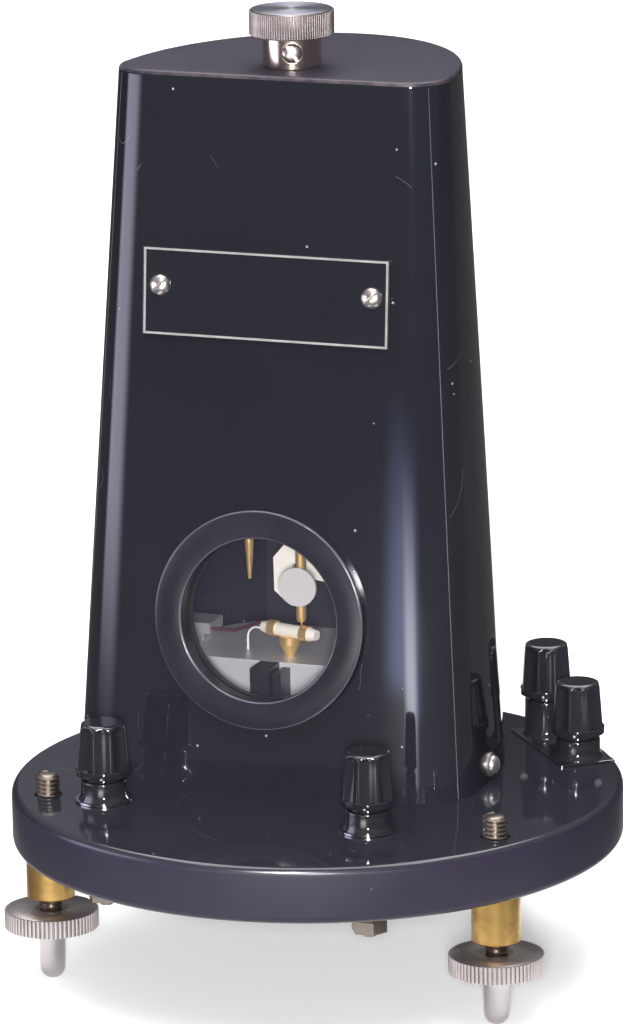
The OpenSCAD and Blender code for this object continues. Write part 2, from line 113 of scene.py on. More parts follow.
def buildHandlingWear():
    tree, inside, outside = groupTree("handlingWear", [("Scale", 40.0), ("Amount", 0.5)], ["Mask", "Height"])
    coord = addNode(tree, "ShaderNodeTexCoord").outputs["Object"]
    scale = inside.outputs["Scale"]
    broad = addNode(tree, "ShaderNodeTexNoise", {
        "Vector": coord, "Scale": scale, "Detail": 5.0, "Roughness": 0.62})
    faster = addMath(tree, "MULTIPLY", scale, 9.0)
    fine = addNode(tree, "ShaderNodeTexNoise", {"Vector": coord, "Scale": faster, "Detail": 3.0})
    spread = addNode(tree, "ShaderNodeMapRange", {
        "Value": broad.outputs["Fac"], "From Min": 0.38, "From Max": 0.72})
    mask = addMath(tree, "MULTIPLY", spread.outputs["Result"], inside.outputs["Amount"])
    tree.links.new(mask, outside.inputs["Mask"])
    tree.links.new(fine.outputs["Fac"], outside.inputs["Height"])
    return tree


def buildDustSpecks():
    settings = [("Scale", 90.0), ("Size", 0.1), ("Share", 0.2), ("Hairs", 0.0)]
    tree, inside, outside = groupTree("dustSpecks", settings, ["Mask"])
    coord = addNode(tree, "ShaderNodeTexCoord").outputs["Object"]
    cells = addNode(tree, "ShaderNodeTexVoronoi", {"Vector": coord, "Scale": inside.outputs["Scale"]})
    near = addMath(tree, "LESS_THAN", cells.outputs["Distance"], inside.outputs["Size"])
    tint = addNode(tree, "ShaderNodeSeparateColor", {"Color": cells.outputs["Color"]})
    chosen = addMath(tree, "LESS_THAN", tint.outputs["Red"], inside.outputs["Share"])
    speck = addMath(tree, "MULTIPLY", near, chosen)
    # a hair is a short stretch of a noise contour
    contour = addNode(tree, "ShaderNodeTexNoise", {
        "Vector": coord, "Scale": 26.0, "Detail": 0.5, "Distortion": 0.6})
    onLine = addMath(tree, "COMPARE", contour.outputs["Fac"], 0.5, 0.002)
    patch = addNode(tree, "ShaderNodeTexNoise", {"Vector": coord, "Scale": 55.0, "Detail": 0.0})
    inPatch = addMath(tree, "GREATER_THAN", patch.outputs["Fac"], 0.69)
    hair = addMath(tree, "MULTIPLY", onLine, inPatch)
    faint = addMath(tree, "MULTIPLY", hair, inside.outputs["Hairs"])
    tree.links.new(addMath(tree, "MAXIMUM", speck, faint), outside.inputs["Mask"])
    return tree


handlingWear = buildHandlingWear()
dustSpecks = buildDustSpecks()


# finishes

dustShade = (0.34, 0.33, 0.36, 1.0)
grainHeight = 0.0002  # in metres
turnedLie = 0.25  # a quarter turn lays the gloss across the lathe marks


def finishOf(name, look):
    mat = bpy.data.materials.new(name)
    mat.use_nodes = True
    tree = mat.node_tree
    link = tree.links.new
    skin = tree.nodes["Principled BSDF"]
    plain = (*look["colour"], 1.0)
    skin.inputs["Metallic"].default_value = look.get("metallic", 0.0)
    skin.inputs["IOR"].default_value = look.get("ior", 1.5)
    skin.inputs["Roughness"].default_value = look["roughness"]
    skin.inputs["Base Color"].default_value = plain
    skin.inputs["Alpha"].default_value = look.get("alpha", 1.0)
    if "turned" in look:
        skin.inputs["Anisotropic"].default_value = look["turned"]
        skin.inputs["Anisotropic Rotation"].default_value = turnedLie
        lie = addNode(tree, "ShaderNodeTangent", direction_type="RADIAL", axis="Z")
        link(lie.outputs["Tangent"], skin.inputs["Tangent"])
    colourFrom = plain
    if "wear" in look:
        wear = look["wear"]
        worn = addNode(tree, "ShaderNodeGroup", {
            "Scale": wear["scale"], "Amount": wear.get("amount", 0.6)}, node_tree=handlingWear)
        mask = worn.outputs["Mask"]
        tint = addNode(tree, "ShaderNodeMix", {
            "Factor": mask, "A": plain, "B": (*wear["colour"], 1.0)}, data_type="RGBA")
        colourFrom = tint.outputs["Result"]
        rough = addNode(tree, "ShaderNodeMapRange", {
            "Value": mask, "To Min": look["roughness"], "To Max": wear["roughness"]})
        link(rough.outputs["Result"], skin.inputs["Roughness"])
        if "bump" in wear:
            bump = addNode(tree, "ShaderNodeBump", {
                "Height": worn.outputs["Height"], "Strength": wear["bump"], "Distance": grainHeight})
            link(bump.outputs["Normal"], skin.inputs["Normal"])
    if "dust" in look:
        dust = look["dust"]
        specks = addNode(tree, "ShaderNodeGroup", {
            "Scale": dust["scale"], "Size": dust["size"], "Share": dust["share"],
            "Hairs": dust.get("hairs", 0.0)}, node_tree=dustSpecks)
        over = addNode(tree, "ShaderNodeMix", {
            "Factor": specks.outputs["Mask"], "A": colourFrom, "B": dustShade}, data_type="RGBA")
        colourFrom = over.outputs["Result"]
    if colourFrom is not plain:
        link(colourFrom, skin.inputs["Base Color"])
    return mat


looks = {
    "towerMoulding": dict(
        colour=(0.0145, 0.0155, 0.021), roughness=0.05, ior=1.6,
        wear=dict(colour=(0.0175, 0.0175, 0.0245), roughness=0.09, scale=18.0, bump=0.012),
        dust=dict(scale=170.0, size=0.07, share=0.16, hairs=0.14)),
    "baseMoulding": dict(
        colour=(0.019, 0.02, 0.027), roughness=0.07, ior=1.55,
        wear=dict(colour=(0.024, 0.024, 0.033), roughness=0.14, scale=22.0, bump=0.01),
        dust=dict(scale=150.0, size=0.06, share=0.1, hairs=0.1)),
    "satinMoulding": dict(
        colour=(0.023, 0.0185, 0.034), roughness=0.48, ior=1.36,
        wear=dict(colour=(0.03, 0.0245, 0.043), roughness=0.58, scale=30.0, bump=0.06),
        dust=dict(scale=240.0, size=0.05, share=0.08)),
    "rimEdge": dict(
        colour=(0.023, 0.0185, 0.034), roughness=0.22,
        wear=dict(colour=(0.03, 0.0245, 0.043), roughness=0.3, scale=30.0)),
    "chippedEdge": dict(
        colour=(0.026, 0.023, 0.03), roughness=0.3,
        wear=dict(colour=(0.11, 0.08, 0.09), roughness=0.6, scale=170.0, amount=0.75)),
    "seamLine": dict(
        colour=(0.03, 0.026, 0.034), roughness=0.4,
        wear=dict(colour=(0.1, 0.07, 0.085), roughness=0.6, scale=60.0, amount=0.8)),
    "postMoulding": dict(
        colour=(0.015, 0.0155, 0.02), roughness=0.07, ior=1.6,
        wear=dict(colour=(0.02, 0.02, 0.026), roughness=0.12, scale=60.0)),
    "bezelMoulding": dict(
        colour=(0.0165, 0.016, 0.0225), roughness=0.2,
        wear=dict(colour=(0.027, 0.026, 0.038), roughness=0.32, scale=40.0, bump=0.02),
        dust=dict(scale=190.0, size=0.07, share=0.12)),
    # the bezel's rounded edges are lighter: partly rubbed wear, partly a painted highlight ring
    "bezelEdgeWearAndHighlight": dict(
        colour=(0.08, 0.076, 0.105), roughness=0.22,
        wear=dict(colour=(0.14, 0.132, 0.172), roughness=0.32, scale=90.0)),
    "insulatorBlack": dict(colour=(0.006, 0.006, 0.007), roughness=0.4),
    "plateEnamel": dict(
        colour=(0.0145, 0.0155, 0.0205), roughness=0.14,
        wear=dict(colour=(0.017, 0.018, 0.023), roughness=0.2, scale=60.0, bump=0.02)),
    "plateSilver": dict(
        colour=(0.5, 0.48, 0.46), metallic=0.7, roughness=0.45,
        wear=dict(colour=(0.25, 0.24, 0.24), roughness=0.5, scale=160.0, amount=0.7)),
    "knobNickel": dict(
        colour=(0.36, 0.32, 0.315), metallic=0.9, roughness=0.42,
        wear=dict(colour=(0.2, 0.155, 0.145), roughness=0.5, scale=190.0, amount=0.8, bump=0.06)),
    "knobFace": dict(colour=(0.33, 0.33, 0.385), metallic=1.0, roughness=0.4, turned=0.6),
    "neckNickel": dict(
        colour=(0.86, 0.74, 0.62), metallic=1.0, roughness=0.15,
        wear=dict(colour=(0.58, 0.45, 0.36), roughness=0.3, scale=140.0, amount=0.5)),
    "chromeScrew": dict(colour=(0.86, 0.78, 0.75), metallic=1.0, roughness=0.28),
    "footSteel": dict(
        colour=(0.5, 0.46, 0.455), metallic=0.92, roughness=0.34,
        wear=dict(colour=(0.34, 0.29, 0.28), roughness=0.46, scale=110.0, amount=0.7, bump=0.06)),
    "tipSteel": dict(
        colour=(0.44, 0.41, 0.41), metallic=1.0, roughness=0.2,
        wear=dict(colour=(0.32, 0.285, 0.28), roughness=0.3, scale=90.0, amount=0.5)),
    "studBrass": dict(
        colour=(0.3, 0.255, 0.225), metallic=1.0, roughness=0.32,
        wear=dict(colour=(0.21, 0.165, 0.13), roughness=0.42, scale=150.0)),
    "agedBrass": dict(
        colour=(0.56, 0.36, 0.115), metallic=0.9, roughness=0.3,
        wear=dict(colour=(0.17, 0.085, 0.035), roughness=0.5, scale=75.0, amount=1.0, bump=0.07)),
    "cleanBrass": dict(
        colour=(0.86, 0.58, 0.24), metallic=0.65, roughness=0.34,
        wear=dict(colour=(0.6, 0.38, 0.15), roughness=0.42, scale=160.0)),
    "washerDark": dict(colour=(0.5, 0.49, 0.51), metallic=1.0, roughness=0.13),
    "creamPaint": dict(
        colour=(0.92, 0.865, 0.79), roughness=0.45,
        wear=dict(colour=(0.82, 0.76, 0.68), roughness=0.5, scale=90.0, amount=0.5)),
    "platformSteel": dict(
        colour=(0.78, 0.78, 0.8), metallic=0.45, roughness=0.3,
        wear=dict(colour=(0.58, 0.57, 0.58), roughness=0.4, scale=80.0)),
    "paleMetal": dict(
        colour=(0.5, 0.49, 0.51), metallic=0.5, roughness=0.36,
        wear=dict(colour=(0.38, 0.37, 0.38), roughness=0.45, scale=80.0)),
    "darkIron": dict(colour=(0.012, 0.012, 0.016), metallic=0.2, roughness=0.5),
    "mirrorGlass": dict(colour=(0.68, 0.64, 0.645), metallic=0.1, roughness=0.25),
    "windowGlass": dict(colour=(0.15, 0.14, 0.2), roughness=0.03, alpha=0.06),
    "copperWire": dict(colour=(0.4, 0.16, 0.07), metallic=0.7, roughness=0.42),
    "leadRed": dict(colour=(0.08, 0.014, 0.018), roughness=0.6),
    "leadPale": dict(colour=(0.78, 0.77, 0.75), roughness=0.5),
}
finishes = {name: finishOf(name, look) for name, look in looks.items()}
print("finishes made:", len(finishes))

# the nodes that are seen as they come
dressed = {
    "paleMetal": ["case_lugs", "platform_pillars", "iron_core", "side_bracket", "coil_former"],
    "insulatorBlack": ["glass_ring", "bezel_nut", "insulator_posts"],
    "agedBrass": ["collar_nut", "core_bracket", *(f"cap_insert_{k}" for k in range(1, 5))],
    "cleanBrass": ["anchor_boss", "anchor_ferrules", "lower_ligament", "guide_pin", "coil_spindle",
                   "suspension_wire"],
    "darkIron": ["back_plate", "magnet_ring", "pole_piece_left", "pole_piece_right"],
    "creamPaint": ["anchor_tube", "rear_bracket"],
    "windowGlass": ["window_glass"],
    "studBrass": ["terminal_studs"],
    "neckNickel": ["torsion_stem"],
    "mirrorGlass": ["mirror"],
    "copperWire": ["coil_winding"],
    "leadRed": ["lead_dark"],
    "leadPale": ["lead_light"],
}
for finish, alike in dressed.items():
    for node in alike:
        nodes[node].data.materials.clear()
        nodes[node].data.materials.append(finishes[finish])


# mesh helpers

def lathe(profile, steps, closed=False, shape=None):
    verts, faces, rows = [], [], []
    for r, z in profile:
        if r == 0:
            verts.append((0.0, 0.0, z))
            rows.append([len(verts) - 1] * steps)
            continue
        row = []
        for k in range(steps):
            t = 2 * math.pi * k / steps
            far = shape(t, r, z) if shape else r
            verts.append((far * math.cos(t), far * math.sin(t), z))
            row.append(len(verts) - 1)
        rows.append(row)
    for low, high in list(zip(rows, rows[1:])) + ([(rows[-1], rows[0])] if closed else []):
        for k in range(steps):
            n = (k + 1) % steps
            quad = [low[k], low[n], high[n], high[k]]
            face = [v for i, v in enumerate(quad) if v not in quad[:i]]
            if len(face) > 2:
                faces.append(face)
    return verts, faces


def arc(cx, cz, r, fromDeg, toDeg, steps):
    turns = [math.radians(fromDeg + (toDeg - fromDeg) * k / steps) for k in range(steps + 1)]
    return [(cx + r * math.cos(t), cz + r * math.sin(t)) for t in turns]


def domeOf(radius, start, rise):
    turns = [math.radians(a) for a in range(0, 90, 10)]
    return [(radius * math.cos(t), start + rise * math.sin(t)) for t in turns] + [(0, start + rise)]


def meshFrom(name, verts, faces, place=None):
    mesh = bpy.data.meshes.new(name)
    mesh.from_pydata([(place @ Vector(v) if place else Vector(v)) * unit for v in verts], [], faces)
    return mesh


def turned(name, profile, steps, place=None, closed=False, shape=None):
    return meshFrom(name, *lathe(profile, steps, closed, shape), place)


def plug(name, radius, low, high, steps, place):
    return turned(name, [(0, low), (radius, low), (radius, high), (0, high)], steps, place)


def addPiece(name, mesh, finish, body, stands, sharp, more=(), pick=None):
    mesh.materials.clear()
    for each in (finish, *more):
        mesh.materials.append(finishes[each])
    if pick:
        mesh.polygons.foreach_set("material_index", [pick(f) for f in mesh.polygons])
    mesh.polygons.foreach_set("use_smooth", [True] * len(mesh.polygons))
    mesh.set_sharp_from_angle(angle=math.radians(sharp))
    obj = bpy.data.objects.new(name, mesh)
    bpy.context.scene.collection.objects.link(obj)
    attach(obj, body)
    if stands:
        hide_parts(*stands)


def joined(name, meshes):
    made = bmesh.new()
    for mesh in meshes:
        made.from_mesh(mesh)
    out = bpy.data.meshes.new(name)
    made.to_mesh(out)
    made.free()
    return out


def cutBy(mesh, tools):
    body = bpy.data.objects.new("cutBody", mesh)
    bpy.context.scene.collection.objects.link(body)
    helpers = []
    for tool in tools:
        helper = bpy.data.objects.new("cutTool", tool)
        bpy.context.scene.collection.objects.link(helper)
        helpers.append(helper)
        step = body.modifiers.new("cut", "BOOLEAN")
        step.operation = "DIFFERENCE"
        step.solver = "EXACT"
        step.object = helper
    bpy.context.view_layer.update()
    out = bpy.data.meshes.new_from_object(body.evaluated_get(bpy.context.evaluated_depsgraph_get()))
    for obj in [body, *helpers]:
        bpy.data.objects.remove(obj)
    return out


def slotBar(wide, low, high, reach=6):
    corners = [(-reach, -wide / 2), (reach, -wide / 2), (reach, wide / 2), (-reach, wide / 2)]
    sides = [[0, 1, 5, 4], [1, 2, 6, 5], [2, 3, 7, 6], [3, 0, 4, 7]]
    return meshFrom("slotTool", [(x, y, z) for z in (low, high) for x, y in corners],
                    [[3, 2, 1, 0], [4, 5, 6, 7], *sides])


def shifted(mesh, place):
    place = place.copy()
    place.translation = place.translation * unit
    mesh.transform(place)
    return mesh


easing = dict(weld=1e-6, flat=1, hard=40, segments=2, sharp=12)


def easedCopy(node, name, finish, width):
    made = bmesh.new()
    made.from_mesh(nodes[node].data)
    bmesh.ops.remove_doubles(made, verts=made.verts, dist=easing["weld"])
    bmesh.ops.dissolve_limit(made, angle_limit=math.radians(easing["flat"]), verts=made.verts,
                             edges=made.edges)
    least = math.radians(easing["hard"])
    hard = [e for e in made.edges if len(e.link_faces) == 2 and e.calc_face_angle_signed() > least]
    bmesh.ops.bevel(made, geom=hard, offset=width * unit, segments=easing["segments"], profile=0.5,
                    affect="EDGES", clamp_overlap=True)
    mesh = bpy.data.meshes.new(name)
    made.to_mesh(mesh)
    made.free()
    addPiece(name, mesh, finish, "base", [node], easing["sharp"])


# geometry node helpers

def shapeTree(name, ins):
    tree = bpy.data.node_groups.new(name, "GeometryNodeTree")
    tree.interface.new_socket("Geometry", in_out="OUTPUT", socket_type="NodeSocketGeometry")
    kinds = {float: "NodeSocketFloat", int: "NodeSocketInt"}
    for label, value in ins:
        socket = tree.interface.new_socket(label, in_out="INPUT", socket_type=kinds[type(value)])
        socket.default_value = value
    tree.interface.new_socket("Finish", in_out="INPUT", socket_type="NodeSocketMaterial")
    return tree, addNode(tree, "NodeGroupInput"), addNode(tree, "NodeGroupOutput")


def endTree(tree, inside, outside, geometry):
    whole = addNode(tree, "GeometryNodeRealizeInstances", {"Geometry": geometry})
    painted = addNode(tree, "GeometryNodeSetMaterial", {
        "Geometry": whole.outputs["Geometry"], "Material": inside.outputs["Finish"]})
    tree.links.new(painted.outputs["Geometry"], outside.inputs["Geometry"])


def runTree(name, tree, values, place):
    holder = bpy.data.objects.new(name, bpy.data.meshes.new(name))
    bpy.context.scene.collection.objects.link(holder)
    step = holder.modifiers.new("shape", "NODES")
    step.node_group = tree
    for item in tree.interface.items_tree:
        if item.item_type == "SOCKET" and item.in_out == "INPUT" and item.name in values:
            step[item.identifier] = values[item.name]
    bpy.context.view_layer.update()
    mesh = bpy.data.meshes.new_from_object(holder.evaluated_get(bpy.context.evaluated_depsgraph_get()))
    holder.modifiers.clear()
    bpy.data.objects.remove(holder)
    mesh.transform(Matrix.Scale(unit, 4))
    return shifted(mesh, place)


def buildRidgeRing():
    sizes = [("Radius", 15.0), ("Height", 6.0), ("Ridges", 60), ("Depth", 0.7)]
    tree, inside, outside = shapeTree("ridgeRing", sizes)
    size = inside.outputs
    ring = addNode(tree, "GeometryNodeMeshCircle", {"Vertices": size["Ridges"], "Radius": size["Radius"]})
    ridge = addNode(tree, "GeometryNodeMeshCylinder", {
        "Vertices": 14, "Radius": size["Depth"], "Depth": size["Height"]})
    spot = addNode(tree, "GeometryNodeInputPosition")
    outward = addNode(tree, "FunctionNodeAlignEulerToVector", {"Vector": spot.outputs["Position"]}, axis="X")
    spread = addNode(tree, "GeometryNodeInstanceOnPoints", {
        "Points": ring.outputs["Mesh"], "Instance": ridge.outputs["Mesh"],
        "Rotation": outward.outputs["Rotation"]})
    endTree(tree, inside, outside, spread.outputs["Instances"])
    return tree


def buildThreadCoil():
    sizes = [("Radius", 3.6), ("Pitch", 1.411), ("Turns", 5.0), ("Depth", 0.45)]
    tree, inside, outside = shapeTree("threadCoil", sizes)
    size = inside.outputs
    spiral = addNode(tree, "GeometryNodeCurveSpiral", {
        "Resolution": 28, "Rotations": size["Turns"], "Start Radius": size["Radius"],
        "End Radius": size["Radius"], "Height": addMath(tree, "MULTIPLY", size["Pitch"], size["Turns"])})
    upright = addNode(tree, "GeometryNodeSetCurveNormal", {"Curve": spiral.outputs["Curve"]}, mode="Z_UP")
    ridge = addNode(tree, "GeometryNodeCurvePrimitiveCircle", {"Resolution": 4, "Radius": size["Depth"]})
    swept = addNode(tree, "GeometryNodeCurveToMesh", {
        "Curve": upright.outputs["Curve"], "Profile Curve": ridge.outputs["Curve"], "Fill Caps": True})
    endTree(tree, inside, outside, swept.outputs["Mesh"])
    return tree


def buildScrewPair():
    sizes = [("Spacing", 73.4), ("Head Radius", 2.7), ("Head Height", 1.9), ("Slot Width", 0.7),
             ("Turn", 0.6)]
    tree, inside, outside = shapeTree("screwPair", sizes)
    size = inside.outputs

    def vectorOf(parts):
        return addNode(tree, "ShaderNodeCombineXYZ", parts).outputs[0]

    row = addNode(tree, "GeometryNodeMeshLine", {
        "Count": 2, "Offset": vectorOf({"X": size["Spacing"]}),
        "Start Location": vectorOf({"X": addMath(tree, "MULTIPLY", size["Spacing"], -0.5)})})
    ball = addNode(tree, "GeometryNodeMeshUVSphere", {"Segments": 40, "Rings": 24})
    flat = vectorOf({"X": size["Head Radius"], "Y": size["Head Radius"], "Z": size["Head Height"]})
    dome = addNode(tree, "GeometryNodeTransform", {"Geometry": ball.outputs["Mesh"], "Scale": flat})
    slotLength = addMath(tree, "MULTIPLY", size["Head Radius"], 3.0)
    bar = addNode(tree, "GeometryNodeMeshCube", {
        "Size": vectorOf({"X": slotLength, "Y": size["Slot Width"], "Z": size["Head Height"]})})
    lifted = addNode(tree, "GeometryNodeTransform", {
        "Geometry": bar.outputs["Mesh"], "Translation": vectorOf({"Z": size["Head Height"]})})
    slotted = addNode(tree, "GeometryNodeMeshBoolean", {
        "Mesh 1": dome.outputs["Geometry"], "Mesh 2": lifted.outputs["Geometry"]},
        operation="DIFFERENCE", solver="EXACT")
    spread = addNode(tree, "GeometryNodeInstanceOnPoints", {
        "Points": row.outputs["Mesh"], "Instance": slotted.outputs["Mesh"],
        "Rotation": vectorOf({"Z": size["Turn"]})})
    endTree(tree, inside, outside, spread.outputs["Instances"])
    return tree


ridgeRing = buildRidgeRing()
threadCoil = buildThreadCoil()
screwPair = buildScrewPair()
print("shape trees built")

# tower: a pair holds the value at the foot and at the roof
tower = dict(x=-13.2, height=231.5, wall=5.0, roofThick=6.0, front=(-19.0, 2.0), half=(68.4, 56.4),
             corner=(18.0, 13.5), cornerShare=0.8, cornerLeast=0.5, backY=(13.9, 10.3), backD=(78.1, 75.8),
             topRound=1.3, topGap=0.4, cornerSteps=24, frontSteps=12, backSteps=120, heightSteps=12,
             windowUp=56.1, holeRadius=31.0, holeReach=20, flatUp=0.9, edgeUp=0.2)
lean = math.atan((tower["front"][1] - tower["front"][0]) / tower["height"])


def blendOf(pair, u):
    return pair[0] + (pair[1] - pair[0]) * u


def towerPlan(u, inset):
    x, steps = tower["x"], tower["cornerSteps"]
    w = blendOf(tower["half"], u) - inset
    r = max(blendOf(tower["corner"], u) - inset * tower["cornerShare"], tower["cornerLeast"])
    f = blendOf(tower["front"], u) + inset
    c = blendOf(tower["backY"], u)
    d = blendOf(tower["backD"], u) - inset
    first = math.asin(max(0.0, (f + r - c) / d))
    points = arc(x - w + r, f + r, r, 180, 270, steps)
    points += [(x + (w - r) * (2 * k / tower["frontSteps"] - 1), f) for k in range(1, tower["frontSteps"])]
    points += arc(x + w - r, f + r, r, 270, 360, steps)
    for k in range(1, tower["backSteps"]):
        t = first + (math.pi - 2 * first) * k / tower["backSteps"]
        points.append((x + w * math.cos(t), c + d * math.sin(t)))
    return points


def frontPlace(x, s, h=0.0):
    foot = Matrix.Translation((0, tower["front"][0], baseTop))
    return foot @ Matrix.Rotation(math.pi / 2 - lean, 4, "X") @ Matrix.Translation((x, s, h))


windowPlace = frontPlace(tower["x"], tower["windowUp"] / math.cos(lean))


# the roof is satin and its edge is chipped
def roofPart(face):
    if face.normal.z > tower["flatUp"]:
        return 1
    return 2 if face.normal.z > tower["edgeUp"] else 0


def makeTower():
    tall, e, steps = tower["height"], tower["topRound"], tower["heightSteps"]
    levels = [k / steps * (tall - e - tower["topGap"]) for k in range(steps + 1)] + [tall - e]
    rings = [(z / tall, 0.0, z) for z in levels]
    for a in (15, 30, 45, 60, 75, 90):
        t = math.radians(a)
        rings.append((1.0, e * (1 - math.cos(t)), tall - e + e * math.sin(t)))
    rings += [(z / tall, tower["wall"], z) for z in (0.0, tall - tower["roofThick"])]
    verts, faces = [], []
    for u, inset, z in rings:
        verts += [(px, py, baseTop + z) for px, py in towerPlan(u, inset)]
    count = len(verts) // len(rings)
    rows = [list(range(i * count, (i + 1) * count)) for i in range(len(rings))]
    *outer, innerLow, innerHigh = rows

    def band(low, high):
        for k in range(count):
            n = (k + 1) % count
            faces.append([low[k], low[n], high[n], high[k]])

    for low, high in zip(outer, outer[1:]):
        band(low, high)
    faces.append(outer[-1])
    band(innerLow[::-1], innerHigh[::-1])
    faces.append(innerHigh[::-1])
    band(innerLow, outer[0])
    mesh = meshFrom("towerShell", verts, faces)
    reach = tower["holeReach"]
    tool = plug("windowTool", tower["holeRadius"], -reach, reach, 96, windowPlace)
    addPiece("towerShell", cutBy(mesh, [tool]), "towerMoulding", "base", ["tower_shell"], 30,
             ("satinMoulding", "chippedEdge"), roofPart)


makeTower()

# moulding seams on the two front corners
seam = dict(turn=(58.5, 44.5), wide=0.45, proud=0.12, sink=0.2, low=0.002, share=0.99, steps=24)


def makeSeams():
    for name, side in (("mouldSeamLeft", -1), ("mouldSeamRight", 1)):
        verts, faces = [], []
        for k in range(seam["steps"] + 1):
            u = seam["low"] + seam["share"] * k / seam["steps"]
            w, r, f = (blendOf(tower[size], u) for size in ("half", "corner", "front"))
            wide = seam["wide"] / r
            for turn, proud in ((-wide, -seam["sink"]), (0, seam["proud"]), (wide, -seam["sink"])):
                a = math.radians(blendOf(seam["turn"], u)) + turn
                x = tower["x"] + side * (w - r + (r + proud) * math.sin(a))
                verts.append((x, f + r - (r + proud) * math.cos(a), baseTop + u * tower["height"]))
        for k in range(seam["steps"]):
            for j in range(2):
                low, high = k * 3 + j, (k + 1) * 3 + j
                quad = [low, low + 1, high + 1, high]
                faces.append(quad if side > 0 else quad[::-1])
        addPiece(name, meshFrom("mouldSeam", verts, faces), "seamLine", "base", (), 60)


makeSeams()
print("tower made")

# round base with softly rounded rim
baseDisc = dict(radius=100.0, thick=18.6, edge=2.6, holeRadius=4.6, holeReach=5, flatUp=0.6, edgeUp=0.36)


def makeBase():
    b = baseDisc
    e, reach = b["edge"], b["holeReach"]
    low = baseTop - b["thick"]
    inner = b["radius"] - e
    profile = [(0, low), (inner * 0.5, low)]
    profile += arc(inner, low + e, e, -90, 0, 10) + arc(inner, baseTop - e, e, 0, 90, 10)
    profile += [(inner * 0.5, baseTop), (0, baseTop)]
    tools = []
    for name in footNames:
        at = middleOf("levelling_screw_" + name)
        here = Matrix.Translation((at.x, at.y, 0))
        tools.append(plug("footTool", b["holeRadius"], low - reach, baseTop + reach, 48, here))

    def rimPart(face):
        if abs(face.normal.z) > b["flatUp"] or face.center.xy.length < inner * unit:
            return 0
        return 2 if face.normal.z > b["edgeUp"] else 1

    disc = cutBy(turned("baseDisc", profile, 256), tools)
    addPiece("baseDisc", disc, "baseMoulding", "base", ["base_disc"], 30,
             ("satinMoulding", "rimEdge"), rimPart)


makeBase()

# window bezel with a gently domed land
bezel = dict(radius=36.1, sight=26.7, proud=3.6, dome=0.22, edge=1.0, spigot=30.9, seat=29.0, deep=9,
             seatDeep=2.8, landSteps=12, edgeOut=(0.58, 0.9))


def makeBezel():
    z = bezel
    r, s, e = z["radius"], z["sight"], z["edge"]
    shoulder = z["proud"] - z["dome"] - e
    middle, half = (r + s) / 2, (r - s) / 2 - e
    profile = [(z["seat"], -z["deep"]), (z["spigot"], -z["deep"]), (z["spigot"], 0), (r, 0)]
    profile += arc(r - e, shoulder, e, 0, 90, 8)
    for k in range(1, z["landSteps"]):
        across = 1 - 2 * k / z["landSteps"]
        profile.append((middle + half * across, z["proud"] - z["dome"] * across ** 2))
    profile += arc(s + e, shoulder, e, 90, 180, 8)
    profile += [(s, -z["seatDeep"]), (z["seat"], -z["seatDeep"])]
    out = Vector((0, -math.cos(lean), math.sin(lean)))
    least, most = z["edgeOut"]
    mesh = turned("windowBezel", profile, 192, windowPlace, True)
    # the rounded edges get the lighter finish, partly rubbed wear and partly a painted highlight ring
    addPiece("windowBezel", mesh, "bezelMoulding", "base", ["window_bezel"], 30, ("bezelEdgeWearAndHighlight",),
             lambda f: int(least < f.normal.dot(out) < most))


makeBezel()

# plate border and screws
plate = dict(width=84.8, height=29.1, up=160.7, inset=0.5, line=0.7, rise=1.25, sink=0.2, proud=0.02)
plateScrew = dict(at=36.3, up=2.0, lift=1.0, radius=3.5, tall=2.2, slotWide=0.7, turn=0.7)


def makePlate():
    p, s = plate, plateScrew
    up = p["up"] / math.cos(lean)
    w, h = p["width"] / 2 - p["inset"], p["height"] / 2 - p["inset"]
    low, high = p["rise"] - p["sink"], p["rise"] + p["proud"]
    verts = []
    for a, b in ((w, h), (w - p["line"], h - p["line"])):
        for z in (low, high):
            verts += [(-a, -b, z), (a, -b, z), (a, b, z), (-a, b, z)]
    faces = []
    for k in range(4):
        n = (k + 1) % 4
        for one, two in ((0, 4), (4, 12), (12, 8), (8, 0)):
            faces.append([one + k, one + n, two + n, two + k])
    border = meshFrom("plateBorder", verts, faces, frontPlace(tower["x"], up))
    addPiece("plateBorder", border, "plateSilver", "base", (), 20)
    sizes = {"Spacing": 2 * s["at"], "Head Radius": s["radius"], "Head Height": s["tall"],
             "Slot Width": s["slotWide"], "Turn": s["turn"], "Finish": finishes["chromeScrew"]}
    heads = runTree("plateScrews", screwPair, sizes, frontPlace(tower["x"], up + s["up"], s["lift"]))
    addPiece("plateScrews", heads, "chromeScrew", "base", ["plate_screws"], 35)


makePlate()

# case screws near the foot of the tower
caseScrew = dict(radius=3.1, proud=2.4, domeFrom=0.2, shank=2, shankLong=14, slotWide=0.9, slotDeep=1.0,
                 slotOver=6, washerRadius=4.0, washerBore=1.5, washerThick=1.6, washerEase=0.3, sink=0.7,
                 y=14.0, up=5.4)


